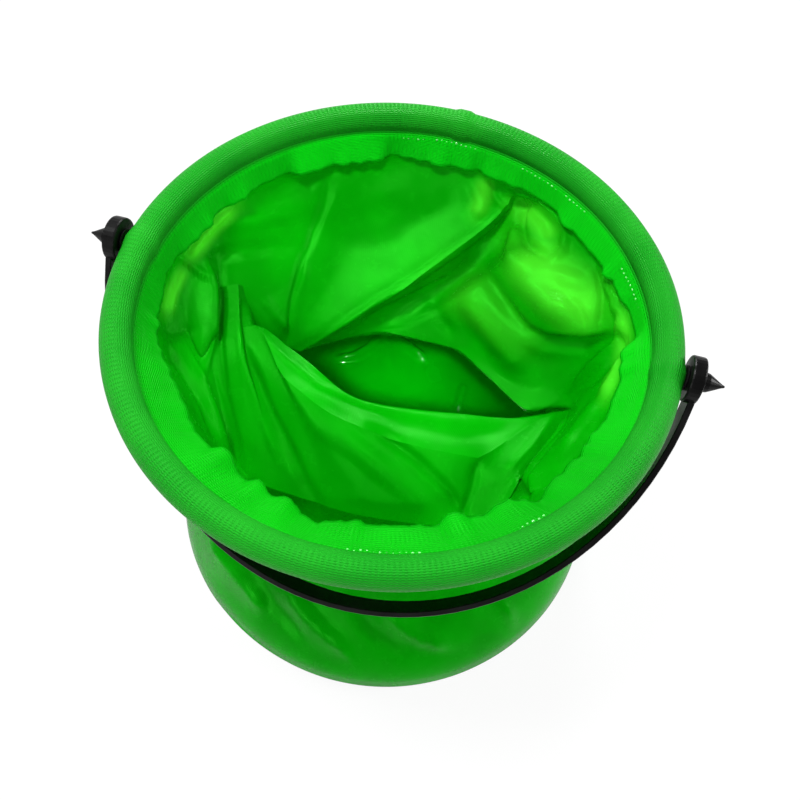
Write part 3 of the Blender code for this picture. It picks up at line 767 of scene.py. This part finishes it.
        (((236, 206), (214, 226), (198, 246), (188, 260)), 13, 0.95),
        (((184, 268), (172, 292), (166, 314)), 11, 0.85),
        (((486, 178), (482, 200), (476, 216)), 14, 0.55),
        (((520, 246), (548, 276), (580, 304), (606, 306)), 44, 0.72),
        (((512, 206), (534, 216), (554, 240)), 20, 0.55),
        (((446, 276), (472, 304), (496, 336), (524, 372)), 50, 0.24),
        (((622, 306), (626, 336), (616, 372), (604, 402)), 11, 0.60),
    ),
}
threadNames = [thread[0] for thread in wall["threads"]]


def lowerPlace(under, foot, share, deep):
    # a place on the lower wall, pleated towards the back and the sides
    place = under.lerp(foot, share)
    turn = math.atan2(place.y, place.x)
    wave = math.sin(wall["pleats"] * (turn + wall["pleatSlant"] * share))
    unseen = towardsBack(math.sin(turn), wall["pleatFade"])
    return place * (1 + wall["pleatDepth"] * wave * deep * unseen / place.length)


def wallRows():
    columns = []
    for _, degrees, *points in wall["threads"]:
        angle = math.radians(degrees)
        neck = around(wall["neckRadius"], angle, wall["neckHeight"])
        behind = around(flapEdgeRadius(angle) + wall["behindFlap"], angle, wall["behindHeight"])
        places = [(point if isinstance(point, Vector) else seen(*point)) / 1000 for point in points]
        spots = zip(wall["footRadii"], wall["footHeights"])
        feet = [around(radius, angle + wall["turn"], height) for radius, height in spots]
        edge, foot = places[-1], feet[0]
        out = (foot - edge) * Vector((1, 1, 0))
        under = edge + out.normalized() * wall["underOut"] + Vector((0, 0, -wall["underDrop"]))
        shares = zip(wall["lowerShares"], wall["pleatRows"])
        lower = [lowerPlace(under, foot, share, deep) for share, deep in shares]
        columns.append([neck, behind, *places, under, *lower, *feet])
    return list(zip(*columns))


# a stroke fades in over this share of its length, from this weight at its ends
stroke = {"fadeShare": 0.22, "endWeight": 0.25}


def strokeWeights(pixels, points, halfWidth, crisp=False):
    # 1 on the stroke, falling smoothly to 0 at its half width; its ends fade out
    left, right = halfWidth if isinstance(halfWidth, tuple) else (halfWidth, halfWidth)
    points = numpy.array(points, dtype=float)
    ways = points[1:] - points[:-1]
    steps = numpy.linalg.norm(ways, axis=1)
    before = numpy.concatenate(([0.0], numpy.cumsum(steps)))
    nearest = numpy.full(len(pixels), 1e9)
    reach = numpy.full(len(pixels), float(left))
    along = numpy.zeros(len(pixels))
    for start, way, step, run in zip(points, ways, steps, before):
        share = numpy.clip(((pixels - start) @ way) / step ** 2, 0, 1)
        away = pixels - start - share[:, None] * way
        distance = numpy.linalg.norm(away, axis=1)
        onRight = way[0] * away[:, 1] - way[1] * away[:, 0] > 0
        closer = distance < nearest
        nearest[closer] = distance[closer]
        reach[closer] = numpy.where(onRight[closer], right, left)
        along[closer] = run + share[closer] * step
    toEnd = numpy.minimum(along, before[-1] - along)
    fade = numpy.clip(toEnd / (before[-1] * stroke["fadeShare"]) + stroke["endWeight"], 0, 1)
    weight = numpy.clip(1 - nearest / reach, 0, 1)
    return (weight * weight if crisp else smooth(weight)) * fade


def surfaceOf(mesh):
    # places, normals towards the bucket's inside, and the photograph's pixels of the mesh's points
    count = len(mesh.vertices)
    places = numpy.empty(count * 3)
    normals = numpy.empty(count * 3)
    mesh.vertices.foreach_get("co", places)
    mesh.vertices.foreach_get("normal", normals)
    places, normals = places.reshape(-1, 3), normals.reshape(-1, 3)
    neck = places[:, 2] > wall["neckAbove"]
    if (normals[neck, :2] * places[neck, :2]).sum() > 0:
        normals = -normals
    line = places - numpy.array(view["place"])
    scale = view["focalPixels"] / (line @ numpy.array(view["ahead"]))
    pixels = numpy.stack((
        view["middlePixel"] + (line @ numpy.array(view["right"])) * scale,
        view["middlePixel"] - (line @ numpy.array(view["up"])) * scale,
    ), axis=1)
    facing = -(normals * line).sum(axis=1) / numpy.linalg.norm(line, axis=1)
    return places, normals, pixels, facing


def pressFolds(piece):
    mesh = piece.data
    places, normals, pixels, facing = surfaceOf(mesh)
    height = places[:, 2]
    inner = numpy.clip(facing / wall["pressFacing"], 0, 1)
    outer = numpy.clip(-facing / wall["pressFacing"], 0, 1) * (height < wall["pressOutside"])
    (top, topFade), (foot, footFade) = wall["pressBelow"], wall["pressAbove"]
    ends = numpy.clip((top - height) / topFade, 0, 1) * numpy.clip((height - foot) / footFade, 0, 1)
    move = numpy.zeros(len(places))
    for folds, face in ((wall["folds"], inner), (wall["outerFolds"], -outer)):
        for _, points, halfWidth, rise, *crisp in folds:
            move += strokeWeights(pixels, points, halfWidth, bool(crisp)) * face * rise
    ripple = numpy.zeros(len(places))
    for scale, rise in wall["ripples"]:
        ripple += rise * numpy.array([noise.noise(Vector(p) * scale) for p in places])
    move += ripple
    # painted light and highlight: lit cloth along strokes, only on faces towards the camera, stored as the
    # backlight attribute
    lit = numpy.zeros(len(places))
    for points, halfWidth, strength in wall["lit"]:
        lit = numpy.maximum(lit, strokeWeights(pixels, points, halfWidth) * strength * (facing > 0))
    places = places + normals * (move * ends / 1000)[:, None]
    mesh.vertices.foreach_set("co", places.ravel())
    mesh.update()
    litFrom, litFade = wall["litAbove"]
    light = mesh.attributes.new("backlight", "FLOAT", "POINT")
    light.data.foreach_set("value", lit * numpy.clip((places[:, 2] - litFrom) / litFade, 0, 1))


def makeWall():
    rows = wallRows()
    bm, rings = ringCloth(rows)
    clothMap(bm, rings, wall["clothWidth"], rowLengths(rows))
    crease = bm.edges.layers.float.new("crease_edge")
    for row, first, last, sharp in wall["rowCreases"]:
        i = threadNames.index(first)
        while threadNames[i] != last:
            after = (i + 1) % len(threadNames)
            bm.edges.get((rings[row][i], rings[row][after]))[crease] = sharp
            i = after
    for name, first, last, sharp in wall["threadCreases"]:
        i = threadNames.index(name)
        for row in range(first, last):
            bm.edges.get((rings[row][i], rings[row + 1][i]))[crease] = sharp
    piece = finishPiece("wallFabric", bm, "coated")
    subdivide(piece, wall["levels"])
    applyAll(piece)
    piece.data.set_sharp_from_angle(angle=wall["sharpAngle"])
    pressFolds(piece)
    thicken(piece, wall["thickness"])
    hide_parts("wall_panel")
    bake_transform(piece)


makeWall()
print("wall made")

sleeve = {
    "columns": 300,
    "rollSteps": 22,
    "flapSteps": 8,
    "skirtSteps": 4,
    "skirtClear": 0.0014,
    "thickness": 0.0006,
    # waves of the flap's free edge: scale and height, and the noise's slice
    "waves": ((9, 0.0048), (20, 0.0026)),
    "waveSlice": 1.7,
    "wavePower": 1.4,
    "leastWave": -0.0008,
    # points count as flap up to this far above the neck and this far outside it
    "flapUp": 0.0012,
    "flapOut": 0.0015,
    "lapTurn": math.radians(88.6),
    "lapHalfTurn": math.radians(2.1),
    "lapRise": 0.0009,
    "studSwell": 0.0009,
    "studHalfTurn": math.radians(3.0),
    # painted light: the flap's colour lighter from the sides to the back, where light comes through it
    "backlight": 0.8,
    "backFade": 1.2,
}


def flapWave(angle):
    # how far the flap's free edge stands up from its straight run
    rise = 0.0
    for scale, height in sleeve["waves"]:
        rise += height * noise.noise(around(scale, angle, sleeve["waveSlice"]))
    return max(sleeve["leastWave"], rise)


def rollRise(angle):
    # the lap joint at the back and the swell where each stud passes through
    lap = abs((angle - sleeve["lapTurn"] + math.pi) % math.tau - math.pi)
    stud = abs((angle + math.pi / 2) % math.pi - math.pi / 2)
    rise = sleeve["lapRise"] if lap < sleeve["lapHalfTurn"] else 0.0
    return rise + sleeve["studSwell"] * max(0.0, 1 - stud / sleeve["studHalfTurn"])


def onCircle(across, up, radius, turn):
    # a place in a section, on a circle round (across, up)
    return Vector((across + radius * math.cos(turn), up + radius * math.sin(turn)))


def sleeveSection(angle):
    # skirt, roll round the hoop and inner flap, from the skirt's edge to the flap's
    neck = Vector((rim["neckRadius"], rim["neckHeight"]))
    flapRadius = flapEdgeRadius(angle)
    run = Vector((flapRadius - neck.x, -rim["flapDrop"]))
    length = run.length
    down = run / length
    inward = Vector((down.y, -down.x))
    middle = rim["rollRadius"] - sleeve["thickness"] / 2
    roll = middle + rollRise(angle)
    pitch = sleeve["thickness"] + rim["legGap"]
    opening = math.asin(pitch / middle)
    outer = neck - inward * pitch
    inner = neck + inward * pitch
    behind = Vector((flapRadius + wall["behindFlap"] + sleeve["skirtClear"], wall["behindHeight"]))
    skirt = (behind - outer) * rim["skirtDrop"] / (outer.y - behind.y)
    points = [outer + skirt * (1 - i / sleeve["skirtSteps"]) for i in range(sleeve["skirtSteps"] + 1)]
    start = neckTurn + opening - math.tau
    end = neckTurn - opening
    for i in range(sleeve["rollSteps"] + 1):
        turn = start + (end - start) * i / sleeve["rollSteps"]
        points.append(onCircle(rim["centreRadius"], rim["height"], roll, turn))
    wave = inward * flapWave(angle)
    for i in range(sleeve["flapSteps"] + 1):
        share = i / sleeve["flapSteps"]
        points.append(inner + down * length * share + wave * share ** sleeve["wavePower"])
    return points


def makeSleeve():
    angles = turns(sleeve["columns"])
    sections = [sleeveSection(a) for a in angles]
    rows = [[around(p.x, a, p.y) for a, p in zip(angles, row)] for row in zip(*sections)]
    bm, rings = ringCloth(rows)
    clothMap(bm, rings, math.tau * rim["centreRadius"], rowLengths(rows))
    piece = finishPiece("rimSleeve", bm, "sleeve")
    piece.data.attributes.new("flap", "FLOAT", "POINT")
    piece.data.attributes.new("backlight", "FLOAT", "POINT")
    mark, light = (piece.data.attributes[name].data for name in ("flap", "backlight"))
    top = rim["neckHeight"] + sleeve["flapUp"]
    widest = rim["neckRadius"] + sleeve["flapOut"]
    for vert, item, glow in zip(piece.data.vertices, mark, light):
        radius = math.hypot(vert.co.x, vert.co.y)
        item.value = float(vert.co.z < top and radius < widest)
        # painted light: lighter towards the back
        glow.value = sleeve["backlight"] * towardsBack(vert.co.y / radius, sleeve["backFade"])
    thicken(piece, sleeve["thickness"])
    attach(piece, "rim")
    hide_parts("rim_sleeve")


weld = {
    # runs of squeezed-out weld that shine: first and last turn in degrees, share of the flap's drop
    "runs": (
        (98, 105, 0.10), (84, 96, 0.03), (60, 72, 0.05), (50, 59, 0.05), (20, 33, 0.25), (276, 292, 0.18),
        (312, 319, 0.15),
    ),
    "spacing": math.radians(1.3),
    "size": 0.00040,
    "sizeSpread": 1.6,
    "stretch": 1.2,
    "wander": 0.05,
}


def makeWeld():
    # beads of weld on the flap, just below the roll
    bm = bmesh.new()
    stretch = Matrix.Diagonal((1.0, weld["stretch"], 1.0, 1.0))
    for first, last, share in weld["runs"]:
        for step in range(int(math.radians(last - first) / weld["spacing"])):
            angle = math.radians(first) + weld["spacing"] * step
            section = sleeveSection(angle)
            wander = noise.noise(Vector((angle * 60, share * 9, 0.5))) * weld["wander"]
            spread = abs(noise.noise(Vector((angle * 90, 3.1, 2.2)))) * weld["sizeSpread"]
            p = section[-1 - sleeve["flapSteps"]].lerp(section[-1], share + wander)
            place = Matrix.Translation(around(p.x, angle, p.y)) @ Matrix.Rotation(angle, 4, "Z")
            size = weld["size"] * (1 + spread)
            bmesh.ops.create_icosphere(bm, subdivisions=2, radius=size, matrix=place @ stretch)
    piece = finishPiece("weldBeads", bm, "weld")
    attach(piece, "rim")


makeSleeve()
makeWeld()
print("sleeve made")

base = {
    "columns": 168,
    "rollRadius": 0.0032,
    "centreRadius": 0.1268,
    "lean": math.radians(10),
    "pitch": 0.0009,
    "legHeight": 0.009,
    "rollSteps": 14,
    "legSteps": 4,
    "thickness": 0.0006,
}


def hemNeck():
    # where the hem closes over the wire, and the ways along its leg and into the bucket
    lean = Vector((-math.sin(base["lean"]), math.cos(base["lean"])))
    inward = Vector((-lean.y, lean.x))
    centre = Vector((base["centreRadius"], base["rollRadius"]))
    return centre + lean * (base["rollRadius"] + base["pitch"]), lean, inward


def makeHem():
    neck, lean, inward = hemNeck()
    middle = base["rollRadius"] - base["thickness"] / 2
    opening = math.asin(base["pitch"] / middle)
    top = math.radians(90) + base["lean"]
    start, end = top - opening, top + opening - math.tau
    section = []
    for i in range(base["rollSteps"] + 1):
        turn = start + (end - start) * i / base["rollSteps"]
        section.append(onCircle(base["centreRadius"], base["rollRadius"], middle, turn))
    inner = neck + inward * base["pitch"]
    steps = base["legSteps"]
    section += [inner + lean * base["legHeight"] * i / steps for i in range(steps + 1)]
    rows = [[around(p.x, a, p.y) for a in turns(base["columns"])] for p in section]
    bm, rings = ringCloth(rows)
    clothMap(bm, rings, math.tau * base["centreRadius"], rowLengths(rows))
    piece = finishPiece("baseHem", bm, "coated")
    thicken(piece, base["thickness"])
    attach(piece, "base")
    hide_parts("base_hem")


bottom = {
    "columns": 280,
    "rings": 96,
    # creases that shine: pixels, half width in pixels, height in mm
    "creases": (
        (((336, 359), (354, 357), (368, 349), (380, 336)), 6, 4.4),
        (((388, 334), (406, 345), (425, 359)), 6, 4.8),
        (((386, 346), (391, 370)), 5, 0.9),
        (((464, 384), (458, 412)), 6, 3.4),
    ),
    "creaseFade": 0.01,
    # ripples: height, noise scale and slice, and the length over which they start inside the rim and
    # behind the front, which stays flat so that the bail clears it when the bucket is folded
    "lift": 0.0024,
    "liftScale": 26,
    "liftSlice": 2.3,
    "liftFade": 0.02,
    "flatBelow": -0.05,
    "mapWidth": 0.3,
    "thickness": 0.0005,
    "clearOfWire": 0.0003,
    "tuckSteps": 4,
    "lip": 0.006,
}


def bottomSection():
    # the lip that is welded to the hem's leg, the tuck round the wire, then in to the middle
    neck, lean, inward = hemNeck()
    clear = base["rollRadius"] + bottom["clearOfWire"] + base["thickness"] / 2
    start = math.pi + math.asin((base["rollRadius"] - base["thickness"] / 2) / clear)
    end = math.pi / 2 + base["lean"] + math.asin(2 * base["pitch"] / clear)
    section = [neck + inward * base["pitch"] * 2 + lean * bottom["lip"]]
    for i in range(bottom["tuckSteps"] + 1):
        turn = end + (start - end) * i / bottom["tuckSteps"]
        section.append(onCircle(base["centreRadius"], base["rollRadius"], clear, turn))
    edge = section[-1]
    section += [Vector((edge.x * (1 - i / bottom["rings"]), edge.y)) for i in range(1, bottom["rings"])]
    return section, edge.x


def makeBottom():
    section, edgeRadius = bottomSection()
    rows = []
    for number, p in enumerate(section):
        row = [around(p.x, a, p.y) for a in turns(bottom["columns"])]
        rows.append(row)
        if number <= bottom["tuckSteps"] + 2:
            continue
        for place in row:
            x, y = place.x * bottom["liftScale"], place.y * bottom["liftScale"]
            lift = max(0.0, noise.noise(Vector((x, y, bottom["liftSlice"])))) * bottom["lift"]
            free = min(1.0, max(0.0, (place.y - bottom["flatBelow"]) / bottom["liftFade"]))
            place.z += lift * min(1.0, (edgeRadius - p.x) / bottom["liftFade"]) * free
    bm, rings = ringCloth(rows)
    clothMap(bm, rings, bottom["mapWidth"], rowLengths(rows))
    bmesh.ops.contextual_create(bm, geom=rings[-1])
    piece = finishPiece("bottomPanel", bm, "bottom")
    places, _, pixels, _ = surfaceOf(piece.data)
    inside = edgeRadius - numpy.hypot(places[:, 0], places[:, 1])
    inside = numpy.clip(inside / bottom["creaseFade"], 0, 1)
    for points, halfWidth, height in bottom["creases"]:
        places[:, 2] += strokeWeights(pixels, points, halfWidth) * inside * height / 1000
    piece.data.vertices.foreach_set("co", places.ravel())
    piece.data.update()
    thicken(piece, bottom["thickness"])
    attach(piece, "base")
    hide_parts("bottom_panel")


makeHem()
makeBottom()
print("base made")

for name, finish in {
    "rim_hoop": "tube",
    "hoop_joiner": "tube",
    "base_hoop": "wire",
    "stud_left": "plastic",
    "stud_right": "plastic",
    "bail": "plastic",
}.items():
    for slotItem in nodes[name].material_slots:
        slotItem.material = finishes[finish]
print("solids given their finishes")
